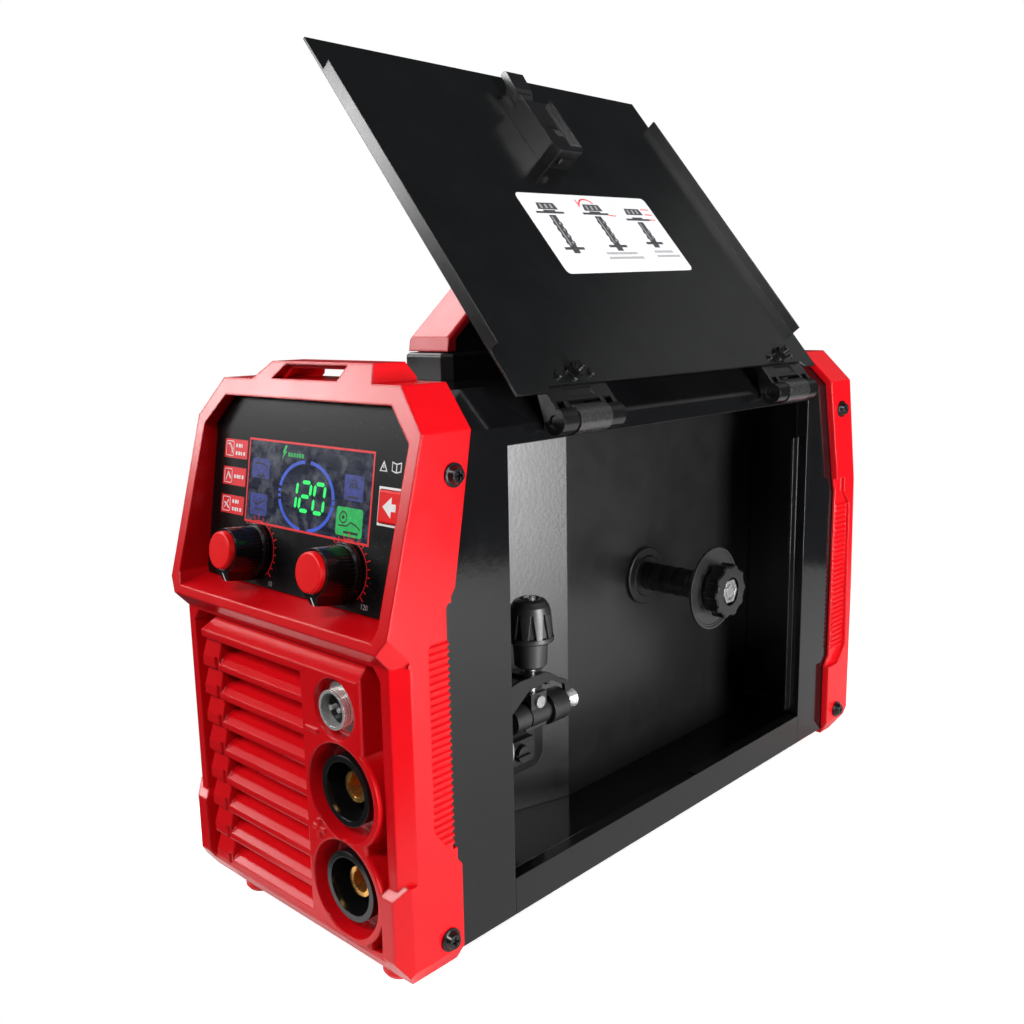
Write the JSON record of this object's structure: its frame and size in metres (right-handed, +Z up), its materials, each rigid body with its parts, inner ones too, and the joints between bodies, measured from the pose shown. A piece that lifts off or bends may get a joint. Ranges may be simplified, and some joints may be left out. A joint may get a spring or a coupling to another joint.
{
  "type": "mig welding machine",
  "caption": "Compact inverter mig welder: moulded front and rear bezels, sheet case, raised door over a wire bay with spool spindle and feeder, control panel, weld sockets and top handle.",
  "frame": {"origin": "bottom centre of the whole machine's bounding box with the door open", "axes": "+X to the side with the wire bay door, -Y to the control panel, +Z up"},
  "size_m": [0.1618, 0.3699, 0.3873],
  "materials": {
    "red_housing": "satin moulded plastic, fine texture",
    "black_powder_coat": "gloss powder coat",
    "panel_print": "satin overlay with fine sparkle and printed marks",
    "dark_display": "dark gloss window with lit symbols",
    "black_plastic": "satin moulded plastic",
    "red_plastic": "satin moulded plastic",
    "chrome": "polished",
    "zinc": "zinc plated",
    "black_steel": "black oxide",
    "brass": "machined",
    "circuit_board": "solder resist",
    "aluminium": "as extruded",
    "copper_winding": "enamelled copper"
  },
  "bodies": {
    "machine": {"base_tray": "black_powder_coat", "busbars": "brass", "cable_gland": "black_plastic", "capacitors": "black_plastic", "case_cover": "black_powder_coat", "case_screws": "black_steel", "control_board": "circuit_board", "control_panel": "panel_print", "display_window": "dark_display", "divider_wall": "black_powder_coat", "fan_frame": "black_plastic", "feeder_motor": "black_steel", "feeder_pins": "zinc", "feeder_plate": "black_plastic", "front_bezel": "red_housing", "front_hinge_case_leaf": "black_steel", "handle_frame": "black_plastic", "handle_grip": "red_plastic", "heat_sinks": "aluminium", "hinge_pins": "black_steel", "inlet_guide": "black_plastic", "inlet_spring": "chrome", "inverter_board": "circuit_board", "mains_switch": "black_plastic", "outlet_tube": "brass", "potentiometers": "zinc", "rear_bezel": "red_housing", "rear_hinge_case_leaf": "black_steel", "rear_panel": "black_powder_coat", "signal_insert": "black_plastic", "signal_pins": "zinc", "signal_shell": "chrome", "socket_bodies": "black_plastic", "socket_inserts": "brass", "spool_bolt": "zinc", "spool_washer": "zinc", "wound_parts": "copper_winding"},
    "door": {"door_panel": "black_powder_coat", "front_hinge_door_leaf": "black_steel", "rear_hinge_door_leaf": "black_steel", "hinge_screws": "black_steel", "latch_housing": "black_plastic"},
    "latch": {"latch_bolt": "black_plastic"},
    "left_dial": {"left_knob": "black_plastic", "left_knob_cap": "red_plastic"},
    "right_dial": {"right_knob": "black_plastic", "right_knob_cap": "red_plastic"},
    "button": {"function_button": "red_plastic"},
    "spool_spindle": {"spool_hub": "black_plastic", "spool_front_flange": "black_plastic"},
    "spool_nut": {"spool_knob": "black_plastic"},
    "drive": {"drive_shaft": "zinc", "drive_roll": "zinc"},
    "arm": {"pressure_arm": "black_steel", "idler_pin": "zinc"},
    "idler": {"idler_roll": "zinc"},
    "stem": {"tension_stem": "zinc"},
    "tensioner": {"tension_knob": "black_plastic"},
    "fan": {"fan_rotor": "black_plastic"},
    "rocker": {"mains_rocker": "black_plastic"}
  },
  "joints": [
    {"name": "door_hinge", "type": "hinge", "parent": "machine", "child": "door", "pos_m": [0.07466, 0.00951, 0.222], "axis": [0, 1, 0], "range_deg": [0, 219.1]},
    {"name": "latch_slide", "type": "slide", "parent": "door", "child": "latch", "axis": [-0.6307, 0, 0.776], "range_m": [-0.005, 0], "stiffness_N_per_m": 150, "springref_m": 0.003},
    {"name": "left_knob_turn", "type": "hinge", "parent": "machine", "child": "left_dial", "pos_m": [-0.03383, -0.16513, 0.167], "axis": [0, 0.9877, -0.1564], "range_deg": [-140, 140]},
    {"name": "right_knob_turn", "type": "hinge", "parent": "machine", "child": "right_dial", "pos_m": [0.02816, -0.16513, 0.167], "axis": [0, 0.9877, -0.1564], "range_deg": [-140, 140]},
    {"name": "function_button_press", "type": "slide", "parent": "machine", "child": "button", "axis": [0, 0.9877, -0.1564], "range_m": [0, 0.0011], "stiffness_N_per_m": 400, "springref_m": -0.001},
    {"name": "spool_spin", "type": "hinge", "parent": "machine", "child": "spool_spindle", "pos_m": [0.03716, 0.05251, 0.1207], "axis": [1, 0, 0], "continuous": true},
    {"name": "spool_knob_turn", "type": "hinge", "parent": "machine", "child": "spool_nut", "pos_m": [0.06316, 0.05251, 0.1207], "axis": [1, 0, 0], "continuous": true},
    {"name": "drive_roll_spin", "type": "hinge", "parent": "machine", "child": "drive", "pos_m": [0.03766, -0.09749, 0.0698], "axis": [1, 0, 0], "continuous": true},
    {"name": "arm_lift", "type": "hinge", "parent": "machine", "child": "arm", "pos_m": [0.03766, -0.11949, 0.097], "axis": [1, 0, 0], "range_deg": [0, 1.5]},
    {"name": "idler_roll_spin", "type": "hinge", "parent": "arm", "child": "idler", "pos_m": [0.03766, -0.09749, 0.0932], "axis": [1, 0, 0], "continuous": true},
    {"name": "stem_swing", "type": "hinge", "parent": "machine", "child": "stem", "pos_m": [0.03766, -0.06879, 0.089], "axis": [1, 0, 0], "range_deg": [-30, 0]},
    {"name": "tension_knob_turn", "type": "hinge", "parent": "stem", "child": "tensioner", "pos_m": [0.03766, -0.06879, 0.115], "axis": [0, 0, 1], "continuous": true},
    {"name": "fan_spin", "type": "hinge", "parent": "machine", "child": "fan", "pos_m": [-0.02883, 0.15051, 0.125], "axis": [0, 1, 0], "continuous": true},
    {"name": "mains_rocker_tilt", "type": "hinge", "parent": "machine", "child": "rocker", "pos_m": [-0.03784, 0.16401, 0.199], "axis": [1, 0, 0], "range_deg": [-8, 0]}
  ],
  "couplings": [
    {"joint": "idler_roll_spin", "follows": "drive_roll_spin", "ratio": -1.0909}
  ]
}
